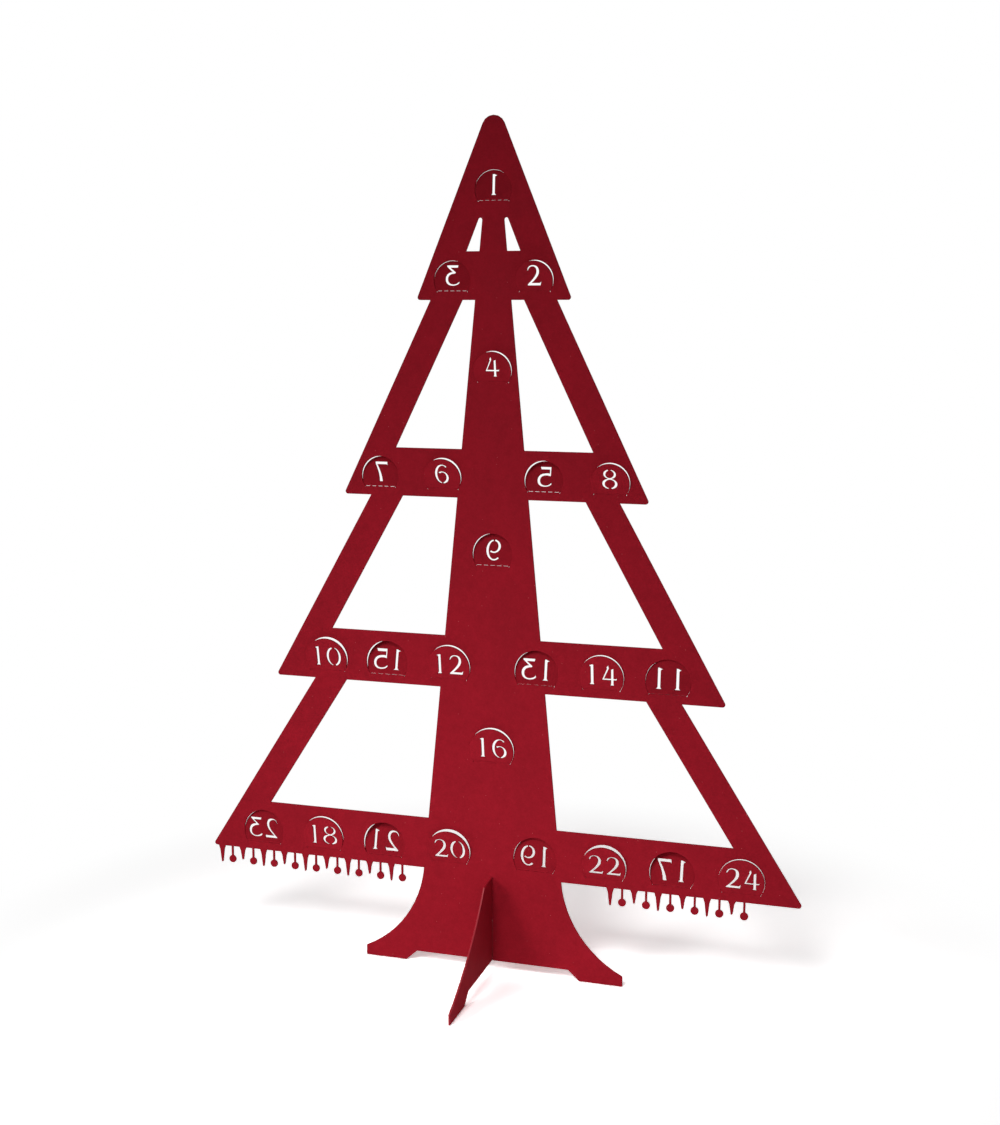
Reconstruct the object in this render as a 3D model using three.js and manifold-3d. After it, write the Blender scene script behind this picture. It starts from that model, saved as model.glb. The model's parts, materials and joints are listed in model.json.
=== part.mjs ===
// Metal tree advent calendar: a laser-cut sheet tree on a cross foot, with 24 fold-out day tabs.
// Millimetres, +Z up, front towards -Y, the tree's own middle at X = 0.
import * as THREE from 'three';
import Module from 'manifold-3d';

const wasm = await Module();
wasm.setup();

// Sheet and clearances
const sheetThickness = 1.2;
const tabClearance = 0.25;
const slotClearance = 0.3;

// Tree outline: four tiers, each a bar with a slanted strip at either side above it
const lowestBarUnderside = 69.9;
const barPitch = 131.7;
const tipStep = 53.7;
const shoulderStep = 43.7;
const barHeights = [31.7, 32.9, 36.4, 36.6];
const topPointHeight = 131.4;
const topPointRadius = 8;
const tipRadius = 1.8;
const stripWidth = 20.2;

// Trunk: one straight taper from the lowest bar's underside to the two slits on the top tier's bar
const trunkHalfWidth = 50;
const trunkTopHalfWidth = 9.45;
const slitHalfWidth = 18.6;
const slitSlope = 0.405;
const slitTipHalfWidth = 1.4;

// Foot of the tree and the cross foot
const footHalfWidth = 94;
const flareRadius = 77;
const padHeight = 7.2;
const padLength = 30.5;
const padChamfer = 8;
const crossFootHalfDepth = 92.3;
const crossFootTopHalfDepth = 18;
const crossFootShoulder = 66.9;
const crossFootPeak = 68.3;
const crossFootRadius = 194;
const lapHeight = 36.9;

// Day tabs: a disc cut off by its fold line
const foldBelowCentre = 0.535;
const arcSteps = 28;
const smallDigitHeight = 13.3;
const largeDigitHeight = 14.1;
const digitAboveFold = 3.3;
const digitDesignHeight = 14;

// Fringe cut under the lowest bar: icicles with a bauble on a stem between each two
const fringePitch = 8.3;
const icicleWidth = 5.4;
const icicleTipWidth = 1.3;
const longIcicle = 12.8;
const shortIcicle = 9.6;
const baubleRadius = 2.8;
const baubleDrop = 9.6;
const baubleSteps = 14;
const baubleStemWidth = 1.5;
const fringeRuns = [
  { start: -207.6, pieces: 18 },
  { start: 84.6, pieces: 12 },
];

// Rows of day tabs: the bar that they stand on, the fold's height above that bar's underside, the disc's radius,
// and each tab's number, place and forward tilt in degrees
const tabRows = [
  { tier: 0, rise: 64.3, radius: 12.7, tabs: [[1, 0, -4]] },
  { tier: 0, rise: 6.1, radius: 12.8, tabs: [[3, -28.4, -5], [2, 28.4, 13.5]] },
  { tier: 1, rise: 78.4, radius: 13.1, tabs: [[4, 0, 11.5]] },
  { tier: 1, rise: 6.1, radius: 13.4, tabs: [[7, -80.7, -11], [6, -35.5, 12], [5, 35.5, -15], [8, 80.7, 11]] },
  { tier: 2, rise: 86.6, radius: 14.1, tabs: [[9, 0, -10]] },
  {
    tier: 2,
    rise: 6.1,
    radius: 15.4,
    tabs: [[10, -121.7, 11], [15, -76.6, -13], [12, -31.2, 8], [13, 31.2, -9], [14, 76.6, 7], [11, 121.7, -4]],
  },
  { tier: 3, rise: 81.1, radius: 15.8, tabs: [[16, 0, 8]] },
  {
    tier: 3,
    rise: 6.1,
    radius: 15.5,
    tabs: [
      [23, -173.6, -5], [18, -126.8, 6.5], [21, -80.1, -14], [20, -31.2, 11.5],
      [19, 31.2, -6], [22, 80.1, 11.5], [17, 126.8, -13], [24, 173.6, 5],
    ],
  },
];

const paint = {
  tree: new THREE.MeshStandardMaterial({ color: 0x8f1a26, roughness: 0.55, metalness: 0.15 }),
  tab: new THREE.MeshStandardMaterial({ color: 0x971a28, roughness: 0.55, metalness: 0.15 }),
  foot: new THREE.MeshStandardMaterial({ color: 0x87182a, roughness: 0.55, metalness: 0.15 }),
};

const foldSlotDepth = sheetThickness / 2 + tabClearance;
const lapSlotHalfWidth = sheetThickness / 2 + slotClearance;

// Tier 0 is the top one; its underside is barPitch above the next
function barUnderside(tier) {
  return lowestBarUnderside + (barHeights.length - 1 - tier) * barPitch;
}

const slitBottom = barUnderside(0) + barHeights[0];
const trunkTaper = (trunkHalfWidth - trunkTopHalfWidth) / (slitBottom - lowestBarUnderside);

function trunkHalfWidthAt(z) {
  return trunkHalfWidth - trunkTaper * (z - lowestBarUnderside);
}

function foldHeight(row) {
  return barUnderside(row.tier) + row.rise;
}

// Sheets are drawn in the XZ plane as X, Y of a shape, extruded, and stood up with their middle at Y = 0
function standingSheet(shape, thickness, curveSegments) {
  const geometry = new THREE.ExtrudeGeometry(shape, { depth: thickness, bevelEnabled: false, curveSegments });
  geometry.translate(0, 0, -thickness / 2);
  geometry.rotateX(Math.PI / 2);
  return geometry;
}

// Welds a geometry by position, which a closed body for cutting needs
function toManifold(geometry) {
  const source = geometry.index ? geometry.toNonIndexed() : geometry;
  const corners = source.getAttribute('position');
  const places = new Map();
  const vertProperties = [];
  const triVerts = [];
  for (let i = 0; i < corners.count; i++) {
    const point = [corners.getX(i), corners.getY(i), corners.getZ(i)];
    const key = point.map((value) => Math.round(value * 1e5)).join(',');
    if (!places.has(key)) {
      places.set(key, places.size);
      vertProperties.push(...point);
    }
    triVerts.push(places.get(key));
  }
  const mesh = new wasm.Mesh({
    numProp: 3,
    vertProperties: new Float32Array(vertProperties),
    triVerts: new Uint32Array(triVerts),
  });
  return new wasm.Manifold(mesh);
}

function toGeometry(solid) {
  const mesh = solid.getMesh();
  const indexed = new THREE.BufferGeometry();
  indexed.setAttribute('position', new THREE.BufferAttribute(mesh.vertProperties, 3));
  indexed.setIndex(new THREE.BufferAttribute(mesh.triVerts, 1));
  const geometry = indexed.toNonIndexed();
  geometry.computeVertexNormals();
  return geometry;
}

// Rounds the corner at b of the line a-b-c, with the round cut into a few straight steps
function roundCorner(a, b, c, radius, steps) {
  const toA = a.clone().sub(b).normalize();
  const toC = c.clone().sub(b).normalize();
  const halfAngle = Math.acos(toA.dot(toC)) / 2;
  const middle = toA.clone().add(toC).normalize();
  const centre = b.clone().addScaledVector(middle, radius / Math.sin(halfAngle));
  const start = b.clone().addScaledVector(toA, radius / Math.tan(halfAngle)).sub(centre);
  const end = b.clone().addScaledVector(toC, radius / Math.tan(halfAngle)).sub(centre);
  const turn = Math.atan2(start.cross(end), start.dot(end));
  const points = [];
  for (let i = 0; i <= steps; i++) {
    const part = start.clone().rotateAround(new THREE.Vector2(), (turn * i) / steps);
    points.push(part.add(centre));
  }
  return points;
}

// An outline is a list of corners [x, z, radius]; those with a radius are rounded
function outlinePoints(corners, steps) {
  const points = [];
  corners.forEach((corner, i) => {
    const before = corners[(i + corners.length - 1) % corners.length];
    const after = corners[(i + 1) % corners.length];
    const here = new THREE.Vector2(corner[0], corner[1]);
    if (!corner[2]) {
      points.push(here);
      return;
    }
    const a = new THREE.Vector2(before[0], before[1]);
    const c = new THREE.Vector2(after[0], after[1]);
    points.push(...roundCorner(a, here, c, corner[2], steps));
  });
  return points;
}

// Points of the arc of a given radius from one point to another, bulging to the left or right of the way
function arcBetween(from, to, radius, side, steps) {
  const half = to.clone().sub(from).multiplyScalar(0.5);
  const rise = Math.sqrt(radius * radius - half.lengthSq());
  const normal = new THREE.Vector2(-half.y, half.x).normalize();
  const centre = from.clone().add(half).addScaledVector(normal, side * rise);
  const start = from.clone().sub(centre);
  const end = to.clone().sub(centre);
  const turn = Math.atan2(start.cross(end), start.dot(end));
  const points = [];
  for (let i = 1; i < steps; i++) {
    const part = start.clone().rotateAround(new THREE.Vector2(), (turn * i) / steps);
    points.push(part.add(centre));
  }
  return points;
}

function mirrored(points) {
  return points.map((point) => new THREE.Vector2(-point.x, point.y)).reverse();
}

// One icicle, from left to right: sides drawn in like a drop of wax to a small blunt tip
function iciclePoints(middle, length) {
  const bar = lowestBarUnderside;
  const half = icicleWidth / 2;
  const halfTip = icicleTipWidth / 2;
  const leftSide = [
    new THREE.Vector2(-half, bar),
    new THREE.Vector2(-(half + halfTip) / 2, bar - length / 4),
    new THREE.Vector2(-halfTip, bar - length + halfTip),
  ];
  const rightSide = mirrored(leftSide);
  const tip = new THREE.Vector2(0, bar - length);
  return [...leftSide, tip, ...rightSide].map((point) => point.add(new THREE.Vector2(middle, 0)));
}

// One bauble on its stem, from left to right
function baublePoints(middle) {
  const centre = new THREE.Vector2(middle, lowestBarUnderside - baubleDrop);
  const halfStem = baubleStemWidth / 2;
  const neckAngle = Math.PI / 2 + Math.asin(halfStem / baubleRadius);
  const sweep = 2 * (Math.PI * 1.5 - neckAngle);
  const round = [];
  for (let i = 0; i <= baubleSteps; i++) {
    const angle = neckAngle + (sweep * i) / baubleSteps;
    round.push(new THREE.Vector2(Math.cos(angle), Math.sin(angle)).multiplyScalar(baubleRadius).add(centre));
  }
  return [
    new THREE.Vector2(middle - halfStem, lowestBarUnderside),
    ...round,
    new THREE.Vector2(middle + halfStem, lowestBarUnderside),
  ];
}

// Long icicle, bauble, short icicle, bauble, and so on along a run
function fringePoints(run) {
  const points = [];
  for (let i = 0; i < run.pieces; i++) {
    const middle = run.start + i * fringePitch;
    const length = i % 4 === 0 ? longIcicle : shortIcicle;
    points.push(...(i % 2 === 0 ? iciclePoints(middle, length) : baublePoints(middle)));
  }
  return points;
}

// Right half of the tree above the lowest bar's underside, from the top point downwards
function tierCorners() {
  const corners = [[0, barUnderside(0) + topPointHeight, topPointRadius]];
  barHeights.forEach((height, tier) => {
    const underside = barUnderside(tier);
    corners.push([tipStep * (tier + 1), underside, tipRadius]);
    if (tier < barHeights.length - 1) {
      corners.push([shoulderStep * (tier + 1), underside, 0]);
    }
  });
  return corners;
}

// Foot from the trunk's flare to the middle of the raised underside, right side
function footPoints() {
  const top = new THREE.Vector2(trunkHalfWidth, lowestBarUnderside);
  const padTop = new THREE.Vector2(footHalfWidth, padHeight);
  return [
    top,
    ...arcBetween(top, padTop, flareRadius, 1, 12),
    padTop,
    new THREE.Vector2(footHalfWidth, 0),
    new THREE.Vector2(footHalfWidth - padLength, 0),
    new THREE.Vector2(footHalfWidth - padLength - padChamfer, padHeight),
  ];
}

function treeShape() {
  const right = tierCorners();
  const left = right.slice(1).map(([x, z, radius]) => [-x, z, radius]).reverse();
  const crown = outlinePoints([...right, ...left], 6);
  // The rounded top point comes first, and the two lowest tips lie next to each other in the middle
  const lowestTip = crown.length / 2;
  const crownRight = crown.slice(0, Math.ceil(lowestTip) + 3);
  const crownLeft = crown.slice(Math.ceil(lowestTip) + 3);
  const foot = footPoints();
  const lapSlot = [
    new THREE.Vector2(lapSlotHalfWidth, padHeight),
    new THREE.Vector2(lapSlotHalfWidth, lapHeight + slotClearance / 2),
    new THREE.Vector2(-lapSlotHalfWidth, lapHeight + slotClearance / 2),
    new THREE.Vector2(-lapSlotHalfWidth, padHeight),
  ];
  const [leftFringe, rightFringe] = fringeRuns.map(fringePoints);
  return new THREE.Shape([
    ...crownRight,
    ...rightFringe.reverse(),
    ...foot,
    ...lapSlot,
    ...mirrored(foot),
    ...leftFringe.reverse(),
    ...crownLeft,
  ]);
}

// Windows between the trunk and the slanted strips, right side, then mirrored
function windowOutlines() {
  const paths = [];
  for (let tier = 1; tier < barHeights.length; tier++) {
    const top = barUnderside(tier - 1);
    const bottom = barUnderside(tier) + barHeights[tier];
    const slope = (tipStep * (tier + 1) - shoulderStep * tier) / barPitch;
    const levelWidth = stripWidth * Math.sqrt(1 + slope * slope);
    const outerAt = (z) => shoulderStep * tier + slope * (top - z) - levelWidth;
    const corners = [
      new THREE.Vector2(trunkHalfWidthAt(top), top),
      new THREE.Vector2(outerAt(top), top),
      new THREE.Vector2(outerAt(bottom), bottom),
      new THREE.Vector2(trunkHalfWidthAt(bottom), bottom),
    ];
    paths.push(corners, mirrored(corners));
  }
  const closing = slitHalfWidth - trunkTopHalfWidth;
  const slitHeight = closing / (slitSlope - trunkTaper);
  const slitTop = slitBottom + slitHeight;
  const slit = outlinePoints([
    [trunkHalfWidthAt(slitBottom), slitBottom, 0],
    [trunkHalfWidthAt(slitTop), slitTop, slitTipHalfWidth],
    [slitHalfWidth, slitBottom, 0],
  ], 5);
  paths.push(slit, mirrored(slit));
  return paths;
}

// Arc of a day disc from its fold line round to its fold line, anticlockwise, about the fold's middle
function discPoints(radius, clearance) {
  const centreHeight = radius * foldBelowCentre;
  const cut = radius - clearance;
  const startAngle = -Math.asin(centreHeight / cut);
  const sweep = Math.PI - 2 * startAngle;
  const points = [];
  for (let i = 0; i <= arcSteps; i++) {
    const angle = startAngle + (sweep * i) / arcSteps;
    points.push(new THREE.Vector2(cut * Math.cos(angle), centreHeight + cut * Math.sin(angle)));
  }
  return points;
}

// Opening that a tab leaves in the tree: its disc and, below the fold line, the room for the folded edge
function tabOpening(x, fold, radius) {
  const arc = discPoints(radius, 0);
  const right = arc[0];
  const left = arc[arc.length - 1];
  arc.unshift(new THREE.Vector2(right.x, -foldSlotDepth));
  arc.push(new THREE.Vector2(left.x, -foldSlotDepth));
  return arc.map((point) => point.add(new THREE.Vector2(x, fold)));
}

// Numerals: roman stencil figures on a height of digitDesignHeight, about their own middle, from their base

function polygon(points) {
  return new THREE.Shape(points.map(([x, z]) => new THREE.Vector2(x, z)));
}

// A bowed stroke, thick at the sides and thin at the top and bottom, between two angles in degrees
function bowl(x, z, halfWidth, halfHeight, from, to, steps, thick = 1.85, thin = 0.9) {
  const outer = [];
  const inner = [];
  for (let i = 0; i <= steps; i++) {
    const angle = THREE.MathUtils.degToRad(from + ((to - from) * i) / steps);
    outer.push(new THREE.Vector2(x + halfWidth * Math.cos(angle), z + halfHeight * Math.sin(angle)));
    inner.push(new THREE.Vector2(
      x + (halfWidth - thick) * Math.cos(angle),
      z + (halfHeight - thin) * Math.sin(angle),
    ));
  }
  return new THREE.Shape([...outer, ...inner.reverse()]);
}

function figureZero() {
  return [bowl(0, 7, 5.4, 7, -79, 79, 12), bowl(0, 7, 5.4, 7, 101, 259, 12)];
}

function figureOne() {
  const shape = new THREE.Shape();
  shape.moveTo(-2.2, 0);
  shape.lineTo(2.2, 0);
  shape.quadraticCurveTo(0.95, 0.4, 0.95, 1.6);
  shape.lineTo(0.95, 14);
  shape.lineTo(-0.2, 14);
  shape.lineTo(-2.6, 12.9);
  shape.quadraticCurveTo(-0.95, 12.9, -0.95, 11.8);
  shape.lineTo(-0.95, 1.6);
  shape.quadraticCurveTo(-0.95, 0.4, -2.2, 0);
  return [shape];
}

function figureTwo() {
  const shape = new THREE.Shape();
  shape.moveTo(-4.7, 0);
  shape.lineTo(4.4, 0);
  shape.lineTo(5.1, 2.8);
  shape.lineTo(4, 1.8);
  shape.lineTo(-1.8, 1.8);
  shape.bezierCurveTo(1.7, 4.9, 3.9, 7.2, 3.9, 10);
  shape.bezierCurveTo(3.9, 12.6, 2.3, 14, -0.1, 14);
  shape.bezierCurveTo(-2.6, 14, -4.1, 12.8, -4.6, 10.2);
  shape.lineTo(-3.8, 10.6);
  shape.bezierCurveTo(-3.3, 12.2, -2.3, 13, -0.9, 13);
  shape.bezierCurveTo(0.9, 13, 1.9, 11.9, 1.9, 9.9);
  shape.bezierCurveTo(1.9, 7.1, -0.8, 4.3, -4.7, 0.7);
  return [shape];
}

// Bowl that figures three and five share: open to the left, with a turned-up end
function openBowl(path) {
  path.bezierCurveTo(3.1, 9.4, 5.2, 7.4, 5.2, 4.7);
  path.bezierCurveTo(5.2, 1.8, 3, 0, -0.2, 0);
  path.bezierCurveTo(-2.6, 0, -4.3, 0.6, -5.2, 1.8);
  path.lineTo(-4.9, 3.1);
  path.bezierCurveTo(-3.6, 1.4, -2.2, 0.9, -0.4, 0.9);
  path.bezierCurveTo(1.8, 0.9, 3.2, 2.4, 3.2, 4.6);
}

function figureThree() {
  const bar = new THREE.Path();
  bar.moveTo(-4.1, 14);
  bar.lineTo(-3.8, 12.3);
  bar.lineTo(1.6, 12.3);
  bar.lineTo(-2.4, 9);
  bar.lineTo(-1.9, 8.3);
  const round = new THREE.Path();
  round.moveTo(0.1, 9.4);
  openBowl(round);
  round.bezierCurveTo(3.2, 7.1, 1, 8.3, -1.9, 8.3);
  const roundPoints = round.getPoints(5).reverse();
  const shape = new THREE.Shape([...bar.getPoints(5), ...roundPoints.slice(1)]);
  shape.lineTo(4.3, 13.1);
  shape.lineTo(4.3, 14);
  return [shape];
}

function figureFour() {
  return [
    polygon([
      [-4.9, 3.7], [4.6, 3.7], [5.2, 5.2], [4.3, 4.8], [-3.6, 4.8], [-0.2, 12.1], [-0.7, 14], [-2, 11.9], [-1.5, 11.5],
    ]),
    polygon([[0.7, 0], [3.2, 0], [2.8, 1.2], [2.8, 11.9], [1.2, 11.1], [1.1, 1.2]]),
  ];
}

function figureFive() {
  const underside = new THREE.Path();
  underside.moveTo(-4.3, 7.5);
  underside.bezierCurveTo(-0.4, 8.8, 3.2, 7.7, 3.2, 4.6);
  const round = new THREE.Path();
  round.moveTo(-3.3, 9.4);
  round.bezierCurveTo(-1.8, 9.7, -0.9, 9.6, 0.1, 9.4);
  openBowl(round);
  const roundPoints = round.getPoints(5).reverse();
  const shape = new THREE.Shape([...underside.getPoints(5), ...roundPoints.slice(1)]);
  shape.lineTo(-3.3, 12.2);
  shape.lineTo(2.8, 12.2);
  shape.lineTo(3.5, 14);
  shape.lineTo(-4.3, 14);
  return [shape];
}

function figureSix() {
  return [bowl(0.6, 7, 5.6, 7, 50, 262, 14), bowl(0.4, 4.5, 4.8, 4.5, -84, 128, 12)];
}

function figureSeven() {
  const shape = new THREE.Shape();
  shape.moveTo(-1.8, 0);
  shape.lineTo(0.7, 0);
  shape.bezierCurveTo(0.9, 4.4, 2.5, 8.2, 4.9, 12.9);
  shape.lineTo(4.9, 14);
  shape.lineTo(-4.3, 14);
  shape.lineTo(-4.6, 11.2);
  shape.lineTo(-3.7, 12.2);
  shape.lineTo(3.2, 12.2);
  shape.bezierCurveTo(0.8, 8.2, -1.1, 4.4, -1.8, 0);
  return [shape];
}

function figureEight() {
  return [
    bowl(0, 10.6, 4.5, 3.4, 104, 436, 18, 1.6, 0.8),
    bowl(0, 3.8, 5.4, 3.8, -77, 257, 18),
  ];
}

// Nine is six turned round
function figureNine() {
  return figureSix().map((shape) => new THREE.Shape(
    openPoints(shape).map((point) => new THREE.Vector2(-point.x, digitDesignHeight - point.y)),
  ));
}

const figures = [
  figureZero, figureOne, figureTwo, figureThree, figureFour,
  figureFive, figureSix, figureSeven, figureEight, figureNine,
];

// Middles of the one or two figures of a number, from the tab's middle, for largeDigitHeight
function figurePlaces(number) {
  if (number < 10) {
    return [[number, 0]];
  }
  const tens = Math.floor(number / 10);
  const units = number % 10;
  if (tens === 1) {
    return [[1, -6.2], [units, units === 1 ? 6.2 : 5.5]];
  }
  return [[2, -5.5], [units, units === 1 ? 7.2 : 6.8]];
}

// Points of a figure's outline, without a last point that repeats the first
function openPoints(shape) {
  const points = shape.getPoints(5);
  if (points[0].distanceTo(points[points.length - 1]) < 1e-6) {
    points.pop();
  }
  return points;
}

// Body that cuts a number through a tab; odd numbers are cut to be read from behind
function numberCutter(number, height) {
  const scale = height / digitDesignHeight;
  const facing = number % 2 === 0 ? 1 : -1;
  let cutter = null;
  for (const [digit, middle] of figurePlaces(number)) {
    for (const shape of figures[digit]()) {
      const points = openPoints(shape).map((point) => new THREE.Vector2(
        facing * (middle + point.x * scale),
        digitAboveFold + point.y * scale,
      ));
      const stroke = toManifold(standingSheet(new THREE.Shape(points), sheetThickness * 2, 1));
      cutter = cutter ? cutter.add(stroke) : stroke;
    }
  }
  return cutter;
}

// Tab about its fold axis: the disc, a folded edge that is round about the axis, and the number cut through
function tabGeometry(number, radius) {
  const disc = discPoints(radius, tabClearance);
  const halfFold = disc[0].x;
  const blank = toManifold(standingSheet(new THREE.Shape(disc), sheetThickness, 1));
  const roll = new THREE.CylinderGeometry(sheetThickness / 2, sheetThickness / 2, 2 * halfFold, 12);
  roll.rotateZ(Math.PI / 2);
  const height = radius < 14 ? smallDigitHeight : largeDigitHeight;
  const tab = blank.add(toManifold(roll)).subtract(numberCutter(number, height));
  return toGeometry(tab);
}

// Cross foot: same raised underside as the tree's foot, stands front to back through the tree's slot
function crossFootGeometry() {
  const top = new THREE.Vector2(crossFootTopHalfDepth, crossFootShoulder);
  const padTop = new THREE.Vector2(crossFootHalfDepth, padHeight);
  const front = [
    top,
    ...arcBetween(top, padTop, crossFootRadius, 1, 10),
    padTop,
    new THREE.Vector2(crossFootHalfDepth, 0),
    new THREE.Vector2(crossFootHalfDepth - padLength, 0),
    new THREE.Vector2(crossFootHalfDepth - padLength - padChamfer, padHeight),
  ];
  const lapSlot = [
    new THREE.Vector2(-lapSlotHalfWidth, crossFootPeak),
    new THREE.Vector2(-lapSlotHalfWidth, lapHeight - slotClearance / 2),
    new THREE.Vector2(lapSlotHalfWidth, lapHeight - slotClearance / 2),
    new THREE.Vector2(lapSlotHalfWidth, crossFootPeak),
  ];
  const geometry = standingSheet(new THREE.Shape([...front, ...mirrored(front), ...lapSlot]), sheetThickness, 1);
  geometry.rotateZ(Math.PI / 2);
  return geometry;
}

// Tree sheet with its windows, slits and tab openings cut out
function treeGeometry() {
  const openings = windowOutlines();
  for (const row of tabRows) {
    for (const [, x] of row.tabs) {
      openings.push(tabOpening(x, foldHeight(row), row.radius));
    }
  }
  let sheet = toManifold(standingSheet(treeShape(), sheetThickness, 1));
  for (const opening of openings) {
    const punch = standingSheet(new THREE.Shape(opening), sheetThickness * 2, 1);
    sheet = sheet.subtract(toManifold(punch));
  }
  return toGeometry(sheet);
}

function addPiece(group, name, geometry, material) {
  const mesh = new THREE.Mesh(geometry, material);
  mesh.name = name;
  group.add(mesh);
  return mesh;
}

const calendar = new THREE.Group();
calendar.name = 'metal_tree_advent_calendar';

addPiece(calendar, 'tree_plate', treeGeometry(), paint.tree);
addPiece(calendar, 'cross_foot', crossFootGeometry(), paint.foot);

for (const row of tabRows) {
  for (const [number, x, tilt] of row.tabs) {
    const name = `day_tab_${String(number).padStart(2, '0')}`;
    const tab = addPiece(calendar, name, tabGeometry(number, row.radius), paint.tab);
    tab.position.set(x, 0, foldHeight(row));
    tab.rotation.x = THREE.MathUtils.degToRad(tilt);
  }
}

export default calendar;
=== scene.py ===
"""Metal tree advent calendar: a powder-coated sheet tree on a cross foot, with 24 folded day tabs."""
import json
import math

import bmesh
import bpy
from mathutils import Matrix, Vector


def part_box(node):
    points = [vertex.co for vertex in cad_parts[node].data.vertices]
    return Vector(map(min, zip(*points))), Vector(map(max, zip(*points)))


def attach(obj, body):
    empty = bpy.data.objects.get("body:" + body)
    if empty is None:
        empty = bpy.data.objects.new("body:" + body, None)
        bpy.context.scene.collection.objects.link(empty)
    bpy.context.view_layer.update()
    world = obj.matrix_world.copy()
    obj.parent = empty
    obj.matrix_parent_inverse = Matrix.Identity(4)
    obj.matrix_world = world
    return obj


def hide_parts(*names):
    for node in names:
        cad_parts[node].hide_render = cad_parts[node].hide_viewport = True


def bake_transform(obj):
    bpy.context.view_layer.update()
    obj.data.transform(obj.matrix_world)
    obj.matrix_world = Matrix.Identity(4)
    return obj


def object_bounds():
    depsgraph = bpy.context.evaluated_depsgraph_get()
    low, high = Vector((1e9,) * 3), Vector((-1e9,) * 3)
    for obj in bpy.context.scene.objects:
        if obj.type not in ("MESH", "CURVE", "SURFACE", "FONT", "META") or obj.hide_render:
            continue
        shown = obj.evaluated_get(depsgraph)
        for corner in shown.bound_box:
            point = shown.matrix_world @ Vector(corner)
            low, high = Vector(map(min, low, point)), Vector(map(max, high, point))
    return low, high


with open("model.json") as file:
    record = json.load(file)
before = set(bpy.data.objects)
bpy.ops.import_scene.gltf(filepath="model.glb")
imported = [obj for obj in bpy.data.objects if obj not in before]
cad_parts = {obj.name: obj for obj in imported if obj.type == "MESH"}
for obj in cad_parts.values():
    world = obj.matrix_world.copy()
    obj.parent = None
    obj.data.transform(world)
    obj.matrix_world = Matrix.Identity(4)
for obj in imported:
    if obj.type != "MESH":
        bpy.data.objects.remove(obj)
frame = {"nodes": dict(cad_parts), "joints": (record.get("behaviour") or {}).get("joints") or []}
cad_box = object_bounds()
scene = bpy.context.scene


# The tree is one laser-cut steel sheet: trunk, four bars, slanted strips, foot and fringe.
# It is powder coated after cutting, in a deep matt red with a fine grain and a few pale specks,
# and the coat runs round its cut edges, where it is drawn a shade darker as painted shade.
outline_rounding = 0.0002
kerf_rounding = 0.00007
hairs_breadth = 1e-5
pale_speck = (0.6, 0.16, 0.16, 1.0)

# A day tab's opening reaches fold_depth below its fold axis and lies within the three measures after it.
fold_depth = 0.00085
reach_below_axis = 0.001
reach_above_axis = 0.0265
reach_sideways = 0.0165
folds = [joint for joint in frame["joints"] if joint["type"] == "hinge"]


def math_step(shader, operation, first, second):
    """Works on a socket with another socket or a plain number, and gives the result's socket."""
    step = shader.nodes.new("ShaderNodeMath")
    step.operation = operation
    shader.links.new(first, step.inputs[0])
    if isinstance(second, bpy.types.NodeSocket):
        shader.links.new(second, step.inputs[1])
    else:
        step.inputs[1].default_value = second
    return step.outputs["Value"]


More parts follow.
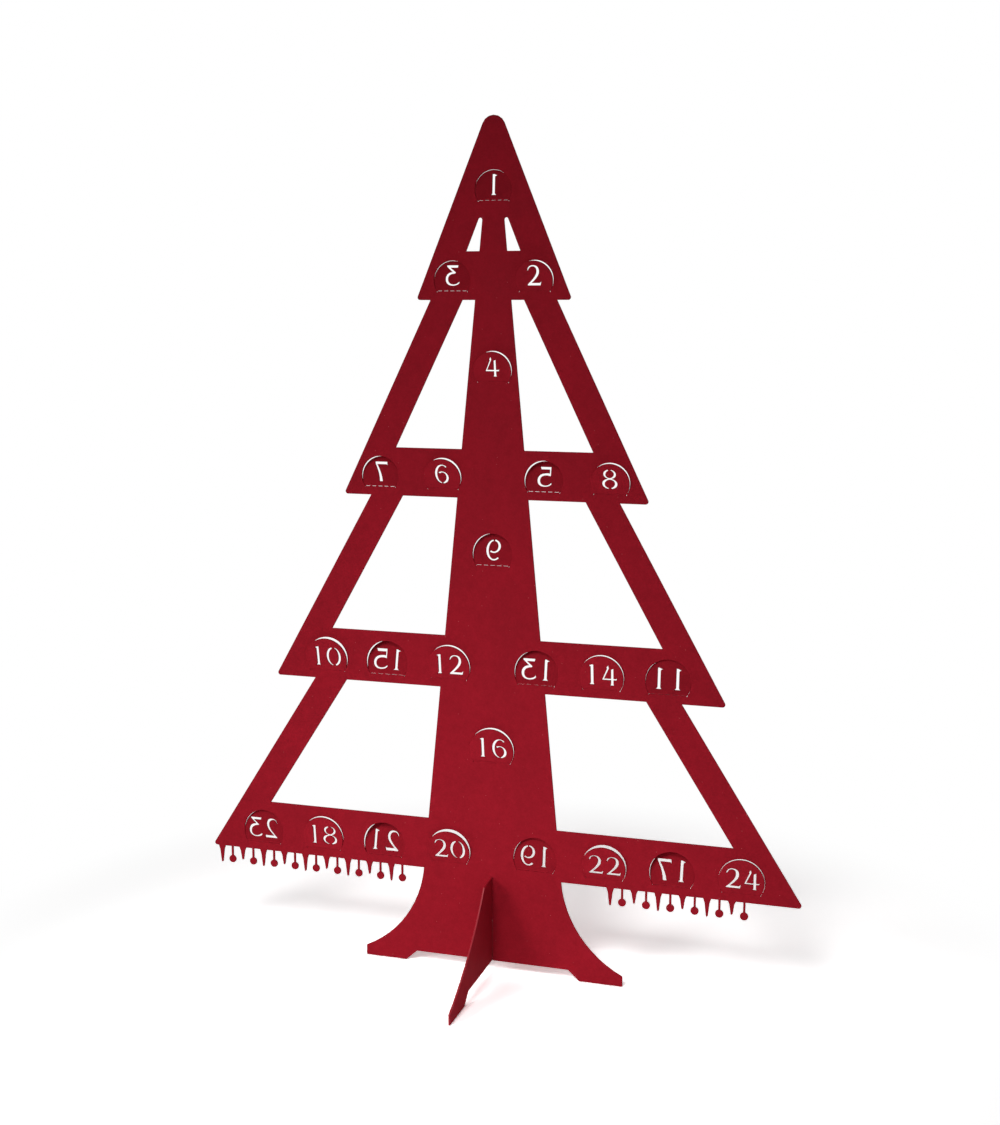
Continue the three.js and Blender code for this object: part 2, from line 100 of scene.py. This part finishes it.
def powder_coat(name, dark_red, light_red, specular, least_roughness, most_roughness):
    """Powder coat: clouds, blotches and grains of two reds, stray pale specks and a fine bump."""
    material = bpy.data.materials.new(name)
    material.use_nodes = True
    shader = material.node_tree
    nodes = shader.nodes
    links = shader.links
    coat = nodes["Principled BSDF"]
    coat.inputs["Specular IOR Level"].default_value = specular
    place = nodes.new("ShaderNodeTexCoord").outputs["Object"]

    def noise(waves_in_a_metre, detail, roughness=0.5):
        field = nodes.new("ShaderNodeTexNoise")
        field.inputs["Scale"].default_value = waves_in_a_metre
        field.inputs["Detail"].default_value = detail
        field.inputs["Roughness"].default_value = roughness
        links.new(place, field.inputs["Vector"])
        return field.outputs["Fac"]

    def mixed(first, second, share_of_second):
        mix = nodes.new("ShaderNodeMix")
        mix.inputs["Factor"].default_value = share_of_second
        links.new(first, mix.inputs["A"])
        links.new(second, mix.inputs["B"])
        return mix.outputs["Result"]

    clouds = noise(waves_in_a_metre=30, detail=3)
    blotches = noise(waves_in_a_metre=170, detail=2)
    grains = noise(waves_in_a_metre=900, detail=4, roughness=0.7)
    patches = mixed(clouds, blotches, share_of_second=0.45)
    mottle = mixed(patches, grains, share_of_second=0.55)
    tint = nodes.new("ShaderNodeValToRGB")
    dark, light = tint.color_ramp.elements
    dark.position = 0.38
    dark.color = (*dark_red, 1.0)
    light.position = 0.62
    light.color = (*light_red, 1.0)
    links.new(mottle, tint.inputs["Fac"])

    speck_cells = nodes.new("ShaderNodeTexVoronoi")
    speck_cells.inputs["Scale"].default_value = 300.0
    links.new(place, speck_cells.inputs["Vector"])
    cell_draw = nodes.new("ShaderNodeSeparateColor")
    links.new(speck_cells.outputs["Color"], cell_draw.inputs["Color"])
    speck_size = 0.055
    cells_without = 0.7
    near_middle = math_step(shader, "LESS_THAN", speck_cells.outputs["Distance"], speck_size)
    has_speck = math_step(shader, "GREATER_THAN", cell_draw.outputs["Red"], cells_without)
    specked = nodes.new("ShaderNodeMix")
    specked.data_type = "RGBA"
    specked.inputs["B"].default_value = pale_speck
    links.new(math_step(shader, "MULTIPLY", near_middle, has_speck), specked.inputs["Factor"])
    links.new(tint.outputs["Color"], specked.inputs["A"])
    links.new(specked.outputs["Result"], coat.inputs["Base Color"])

    gloss = nodes.new("ShaderNodeMapRange")
    gloss.inputs["From Min"].default_value = 0.3
    gloss.inputs["From Max"].default_value = 0.7
    gloss.inputs["To Min"].default_value = least_roughness
    gloss.inputs["To Max"].default_value = most_roughness
    links.new(clouds, gloss.inputs["Value"])
    links.new(gloss.outputs["Result"], coat.inputs["Roughness"])

    texture = nodes.new("ShaderNodeBump")
    texture.inputs["Strength"].default_value = 0.3
    texture.inputs["Distance"].default_value = 0.0001
    links.new(grains, texture.inputs["Height"])
    links.new(texture.outputs["Normal"], coat.inputs["Normal"])
    return material


def coated_sheet(node_name, piece_name, body, flat_coat, rim_coat, roundings, reshape=None):
    """A cut sheet of the frame, its facets merged and each edge rounded by the first rule that takes it."""
    same_point = 2e-6
    same_plane = math.radians(0.5)
    sharp_edge = math.radians(40)
    along_the_sheet = 0.999

    sheet = bmesh.new()
    sheet.from_mesh(frame["nodes"][node_name].data)
    bmesh.ops.remove_doubles(sheet, verts=sheet.verts[:], dist=same_point)
    if reshape is not None:
        reshape(sheet)
    bmesh.ops.dissolve_limit(sheet, angle_limit=same_plane, verts=sheet.verts[:], edges=sheet.edges[:])
    face_way = max(sheet.faces, key=lambda face: face.calc_area()).normal.copy()
    for radius in sorted({size for _, size in roundings if size > 0}, reverse=True):
        rims = [
            edge for edge in sheet.edges
            if edge.calc_face_angle(0.0) > sharp_edge
            and next(size for takes, size in roundings if takes(edge)) == radius
        ]
        bmesh.ops.bevel(
            sheet, geom=rims, offset=radius, segments=2, profile=0.5, affect="EDGES", clamp_overlap=True
        )
    for face in sheet.faces:
        face.smooth = True
        face.material_index = 0 if abs(face.normal.dot(face_way)) > along_the_sheet else 1

    mesh = bpy.data.meshes.new(piece_name)
    sheet.to_mesh(mesh)
    sheet.free()
    carried_normals = mesh.attributes.get("custom_normal")
    if carried_normals:
        mesh.attributes.remove(carried_normals)
    mesh.materials.append(flat_coat)
    mesh.materials.append(rim_coat)
    piece = bpy.data.objects.new(piece_name, mesh)
    scene.collection.objects.link(piece)
    steady = piece.modifiers.new("flat faces stay flat", "WEIGHTED_NORMAL")
    steady.mode = "FACE_AREA"
    steady.keep_sharp = True
    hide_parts(node_name)
    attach(piece, body)
    return piece


def at_an_opening(edge, lowest=-reach_below_axis, highest=reach_above_axis):
    """An edge of the opening that a day tab leaves in the sheet."""
    for joint in folds:
        x, _, z = joint["pos_m"]
        if all(abs(v.co.x - x) < reach_sideways and lowest < v.co.z - z < highest for v in edge.verts):
            return True
    return False


def on_fold_bottom(edge):
    """An edge at the bottom of such an opening, where the fold's strip joins the sheet without a step."""
    return at_an_opening(edge, -fold_depth - hairs_breadth, -fold_depth + hairs_breadth)


def anywhere(edge):
    return True


face_coat = powder_coat(
    "red_powder_coat", dark_red=(0.255, 0.0066, 0.0150), light_red=(0.345, 0.0094, 0.0205),
    specular=0.05, least_roughness=0.7, most_roughness=0.85,
)
# Painted shade: the cut walls and rounded edges take a darker copy of the face coat, for the shade on them;
# the paint is the same.
wall_coat_with_painted_shade = powder_coat(
    "red_coat_painted_darker_in_the_cuts", dark_red=(0.22, 0.0055, 0.013), light_red=(0.30, 0.008, 0.018),
    specular=0.04, least_roughness=0.75, most_roughness=0.9,
)
tree_roundings = [(on_fold_bottom, 0), (at_an_opening, kerf_rounding), (anywhere, outline_rounding)]
tree = coated_sheet("tree_plate", "tree_sheet", "tree", face_coat, wall_coat_with_painted_shade, tree_roundings)


# The cross foot is a second cut sheet of the same steel, slotted into the tree's foot from below.
# Nothing fixes it but the half-lap. Its coat shines a little on the narrow front and back edges, and is
# drawn a shade lighter on its cut edges as a painted highlight.
# Painted highlight: the cut edges take a slightly lighter copy of the face coat, besides their own gloss.
edge_coat_with_painted_highlight = powder_coat(
    "satin_coat_painted_lighter_on_cut_edges", dark_red=(0.27, 0.007, 0.016), light_red=(0.36, 0.011, 0.023),
    specular=0.25, least_roughness=0.28, most_roughness=0.36,
)
foot_roundings = [(anywhere, outline_rounding)]
cross_foot = coated_sheet(
    "cross_foot", "cross_foot_sheet", "cross_foot", face_coat, edge_coat_with_painted_highlight, foot_roundings
)


# Each day tab is a disc of the tree's own sheet, cut on three quarters of its round, with its number
# pierced through it. It is left joined at its fold line and was bent there by hand: even days forwards,
# odd days back. Its paint is the sheet's, but it is drawn a shade lighter on even days as painted light
# and a shade darker on odd ones as painted shade, for how the leaning discs catch the light.
tab_clearance = 0.00025
kerf = 0.00013
bend_above = 0.00065
fold_below_centre = 0.535
# Painted light: a lighter copy of the face coat for the even days' discs, which lean forwards; the paint is
# the sheet's.
even_day_coat_painted_lighter = powder_coat(
    "red_coat_painted_lighter_for_even_days", dark_red=(0.275, 0.0075, 0.0165), light_red=(0.37, 0.0105, 0.0225),
    specular=0.05, least_roughness=0.7, most_roughness=0.85,
)
# Painted shade: a darker copy of the face coat for the odd days' discs, which lean back; the paint is the
# sheet's.
odd_day_coat_painted_darker = powder_coat(
    "red_coat_painted_darker_for_odd_days", dark_red=(0.22, 0.0056, 0.0128), light_red=(0.30, 0.008, 0.0175),
    specular=0.05, least_roughness=0.7, most_roughness=0.85,
)


def disc_radius(day):
    """Radius of a day's disc in the frame, which leaves the clearance open all round."""
    low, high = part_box(day)
    return (high[0] - low[0]) / 2


def rest_tilt(joint):
    """How far the tab leans forward at rest: its range ends flush with the sheet."""
    even = int(joint["child"][-2:]) % 2 == 0
    return math.radians(-joint["range_deg"][0 if even else 1])


def day_tab(joint):
    """One day's disc, which ends where its bend begins."""
    day = joint["child"]
    axis = Vector(joint["pos_m"])
    tilt = rest_tilt(joint)
    down = Matrix.Rotation(tilt, 3, "X") @ Vector((0, 0, -1))

    def cut_to_the_kerf(sheet):
        """Widens the disc till only the laser's kerf is open round it, and cuts it off at its bend."""
        opening_radius = disc_radius(day) + tab_clearance
        centre = Vector((0, 0, opening_radius * fold_below_centre))
        stand = Matrix.Translation(axis) @ Matrix.Rotation(tilt, 4, "X") @ Matrix.Translation(centre)
        grown = (opening_radius - kerf) / disc_radius(day)
        widen = stand @ Matrix.Diagonal((grown, 1, grown, 1)) @ stand.inverted()
        bmesh.ops.transform(sheet, matrix=widen, verts=sheet.verts[:])
        cut = bmesh.ops.bisect_plane(
            sheet, geom=sheet.verts[:] + sheet.edges[:] + sheet.faces[:], dist=1e-7,
            plane_co=axis - down * bend_above, plane_no=down, clear_outer=True,
        )
        rim = [item for item in cut["geom_cut"] if isinstance(item, bmesh.types.BMEdge)]
        bmesh.ops.contextual_create(sheet, geom=rim)

    def on_own_fold(edge):
        return all(abs((vert.co - axis).dot(down) + bend_above) < hairs_breadth for vert in edge.verts)

    # Even days take the coat with painted light, odd days the coat with painted shade.
    coat = even_day_coat_painted_lighter if tilt > 0 else odd_day_coat_painted_darker
    roundings = [(on_own_fold, 0), (anywhere, kerf_rounding)]
    tab = coated_sheet(day, day + "_disc", day, coat, wall_coat_with_painted_shade, roundings, cut_to_the_kerf)


for joint in folds:
    day_tab(joint)


# The fold under each day tab is a low strip of the same sheet, weakened by a row of laser-cut slits.
# Its foot stays in the tree's sheet and its top meets the disc as it stands at rest, so it carries the
# whole bend.
half_thickness = 0.0006
bend_height = fold_depth + bend_above
extra_row = 0.18
slits = 5
bridge = 0.0012
wide_slit = 0.00022
narrow_slit = 0.00008
smooth_up_to = math.radians(50)


def fold_line(joint):
    """A fold's strip: a grid of cells, in which every other cell of the slit row is open."""
    day = joint["child"]
    axis = Vector(joint["pos_m"])
    tilt = rest_tilt(joint)
    opening_radius = disc_radius(day) + tab_clearance

    def half_width_at(height):
        """Half the disc's width at a height over the fold axis."""
        return math.sqrt((opening_radius - kerf) ** 2 - (opening_radius * fold_below_centre - height) ** 2)

    half_width = half_width_at(0)
    pitch = 2 * half_width / slits
    columns = [-half_width]
    for slit in range(slits):
        middle = -half_width + pitch * (slit + 0.5)
        columns += [middle - (pitch - bridge) / 2, middle + (pitch - bridge) / 2]
    columns.append(half_width)
    slit_share = (wide_slit if tilt < 0 else narrow_slit) / bend_height
    rows = [0, extra_row, 0.5 - slit_share / 2, 0.5 + slit_share / 2, 1 - extra_row, 1]
    slit_row = 2

    def solid(column, row):
        inside = 0 <= column < len(columns) - 1 and 0 <= row < len(rows) - 1
        return inside and not (row == slit_row and column % 2 == 1)

    strip = bmesh.new()
    corners = {}

    def corner(column, row, side):
        """A corner of the strip, turned about the fold axis by its share of the tab's tilt."""
        key = (column, row, side)
        if key not in corners:
            share = rows[row] ** 2 * (3 - 2 * rows[row])
            height = rows[row] * bend_height - fold_depth
            across = columns[column] * half_width_at(height) / half_width
            flat = Vector((across, side * half_thickness, height))
            corners[key] = strip.verts.new(axis + Matrix.Rotation(tilt * share, 3, "X") @ flat)
        return corners[key]

    def wall(a, b):
        strip.faces.new([corner(*a, -1), corner(*b, -1), corner(*b, 1), corner(*a, 1)]).material_index = 1

    for column in range(len(columns) - 1):
        for row in range(len(rows) - 1):
            if not solid(column, row):
                continue
            ring = [(column, row), (column + 1, row), (column + 1, row + 1), (column, row + 1)]
            strip.faces.new([corner(*place, -1) for place in ring])
            strip.faces.new([corner(*place, 1) for place in reversed(ring)])
            neighbours = [(column, row - 1), (column + 1, row), (column, row + 1), (column - 1, row)]
            for side, neighbour in enumerate(neighbours):
                if not solid(*neighbour):
                    wall(ring[(side + 1) % 4], ring[side])
    bmesh.ops.recalc_face_normals(strip, faces=strip.faces[:])
    for face in strip.faces:
        face.smooth = True
    for edge in strip.edges:
        edge.smooth = edge.calc_face_angle(0.0) < smooth_up_to

    mesh = bpy.data.meshes.new("fold_line_" + day[-2:])
    strip.to_mesh(mesh)
    strip.free()
    mesh.materials.append(face_coat)
    mesh.materials.append(wall_coat_with_painted_shade)
    piece = bpy.data.objects.new(mesh.name, mesh)
    scene.collection.objects.link(piece)
    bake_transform(piece)


for joint in folds:
    fold_line(joint)


# The floor is a plain white table that fades into the white room, so it only shows the tree's soft shadow.
# It lights the tree as white paper would, and is drawn a little brighter to the eye.
table_white = 0.9
eye_white = 1.84
lift_near_tree = 0.04
near_reach = 0.25
far_reach = 0.42
half_floor = 3.0
under_the_feet = 0.0002


def white_to_the_eye(shader):
    """One for the camera, glossy and transmission rays, which see a white room; nought for the rest."""
    ray = shader.nodes.new("ShaderNodeLightPath")
    camera_or_glossy = math_step(
        shader, "MAXIMUM", ray.outputs["Is Camera Ray"], ray.outputs["Is Glossy Ray"]
    )
    return math_step(shader, "MAXIMUM", camera_or_glossy, ray.outputs["Is Transmission Ray"])


def table_material():
    """Matt white that lights the tree, and a brighter white for the eye that is pure white far off."""
    material = bpy.data.materials.new("white_table")
    material.use_nodes = True
    shader = material.node_tree
    nodes = shader.nodes
    links = shader.links
    nodes.remove(nodes["Principled BSDF"])
    matt = nodes.new("ShaderNodeBsdfDiffuse")
    matt.inputs["Color"].default_value = (table_white, table_white, table_white, 1)
    to_the_eye = nodes.new("ShaderNodeBsdfDiffuse")
    to_the_eye.inputs["Color"].default_value = (eye_white, eye_white, eye_white, 1)
    lift = nodes.new("ShaderNodeEmission")
    lift.inputs["Strength"].default_value = lift_near_tree
    bright = nodes.new("ShaderNodeAddShader")
    links.new(to_the_eye.outputs["BSDF"], bright.inputs[0])
    links.new(lift.outputs["Emission"], bright.inputs[1])
    lifted = nodes.new("ShaderNodeMixShader")
    links.new(white_to_the_eye(shader), lifted.inputs["Fac"])
    links.new(matt.outputs["BSDF"], lifted.inputs[1])
    links.new(bright.outputs["Shader"], lifted.inputs[2])

    place = nodes.new("ShaderNodeTexCoord")
    away = nodes.new("ShaderNodeVectorMath")
    away.operation = "LENGTH"
    links.new(place.outputs["Object"], away.inputs[0])
    far = nodes.new("ShaderNodeMapRange")
    far.interpolation_type = "SMOOTHSTEP"
    far.inputs["From Min"].default_value = near_reach
    far.inputs["From Max"].default_value = far_reach
    links.new(away.outputs["Value"], far.inputs["Value"])
    white = nodes.new("ShaderNodeEmission")
    fade = nodes.new("ShaderNodeMixShader")
    links.new(
        math_step(shader, "MULTIPLY", far.outputs["Result"], white_to_the_eye(shader)), fade.inputs["Fac"]
    )
    links.new(lifted.outputs["Shader"], fade.inputs[1])
    links.new(white.outputs["Emission"], fade.inputs[2])
    links.new(fade.outputs["Shader"], nodes["Material Output"].inputs["Surface"])
    return material


floor_mesh = bpy.data.meshes.new("white_table")
table_corners = [(x * half_floor, y * half_floor, 0) for x, y in ((-1, -1), (1, -1), (1, 1), (-1, 1))]
floor_mesh.from_pydata(table_corners, [], [(0, 1, 2, 3)])
floor_mesh.materials.append(table_material())
floor = bpy.data.objects.new("white_table", floor_mesh)
floor.location.z = cad_box[0][2] - under_the_feet
scene.collection.objects.link(floor)


# The room is white to the eye and gives a weak light of its own. One softbox above the front is aimed
# at the foot, one fills from the left and a weak one lights the top. Another stands for the bright
# paper behind on the right, and the last one lights the back.
room_light = 0.17
scene.world = bpy.data.worlds.new("white_room")
scene.world.use_nodes = True
room = scene.world.node_tree
soft_light = room.nodes["Background"]
soft_light.inputs["Color"].default_value = (1, 1, 1, 1)
soft_light.inputs["Strength"].default_value = room_light
seen = room.nodes.new("ShaderNodeBackground")
seen.inputs["Color"].default_value = (1, 1, 1, 1)
seen.inputs["Strength"].default_value = 1.0
switch = room.nodes.new("ShaderNodeMixShader")
room.links.new(white_to_the_eye(room), switch.inputs["Fac"])
room.links.new(soft_light.outputs["Background"], switch.inputs[1])
room.links.new(seen.outputs["Background"], switch.inputs[2])
room.links.new(switch.outputs["Shader"], room.nodes["World Output"].inputs["Surface"])


def softbox(name, place, aim, width, height, watts, spread):
    """A lamp with a soft front that looks at a point and throws its light within a spread of degrees."""
    light = bpy.data.lights.new(name, "AREA")
    light.shape = "RECTANGLE"
    light.size = width
    light.size_y = height
    light.energy = watts
    light.spread = math.radians(spread)
    lamp = bpy.data.objects.new(name, light)
    lamp.location = place
    lamp.rotation_euler = (Vector(aim) - Vector(place)).to_track_quat("-Z", "Y").to_euler()
    scene.collection.objects.link(lamp)


softbox(
    "key_above_front", place=(-0.08, -0.92, 0.95), aim=(0, 0, -0.1),
    width=0.4, height=0.35, watts=0.66, spread=47,
)
softbox(
    "fill_at_the_top", place=(-0.2, -1.0, 0.5), aim=(0, 0, 0.56),
    width=0.3, height=0.3, watts=0.062, spread=22,
)
softbox(
    "fill_from_left", place=(-0.6, -0.8, 0.45), aim=(0.04, 0, 0.06),
    width=0.35, height=0.35, watts=0.39, spread=50,
)
softbox(
    "backdrop_right", place=(0.75, 0.45, 0.12), aim=(0, -0.07, 0.03),
    width=0.5, height=0.2, watts=0.25, spread=90,
)
softbox(
    "behind_the_tree", place=(0.15, 1.1, 0.55), aim=(0, 0, 0.2),
    width=0.9, height=0.6, watts=1.0, spread=60,
)


# The camera stands where the photograph's did: to the right of the front, a little above the middle,
# looking slightly down. Its turns are in radians, and its focal length is for a picture 1125 px high.
focal_px = 1553.3
picture_height_px = 1125
turn = 0.297148
tip_down = 0.152577
roll = 0.003163
camera_place = Vector((0.308568, -0.990479, 0.449623))
level_right = Vector((math.cos(turn), math.sin(turn), 0))
ahead = Vector((
    -math.sin(turn) * math.cos(tip_down),
    math.cos(turn) * math.cos(tip_down),
    -math.sin(tip_down),
))
level_up = level_right.cross(ahead)
right = level_right * math.cos(roll) + level_up * math.sin(roll)
up = level_up * math.cos(roll) - level_right * math.sin(roll)
lens = bpy.data.cameras.new("camera")
lens.sensor_width = 36.0
lens.lens = focal_px * lens.sensor_width / picture_height_px
camera = bpy.data.objects.new("camera", lens)
camera.matrix_world = Matrix.Translation(camera_place) @ Matrix((right, up, -ahead)).transposed().to_4x4()
scene.collection.objects.link(camera)
scene.camera = camera
scene.view_settings.view_transform = "Standard"
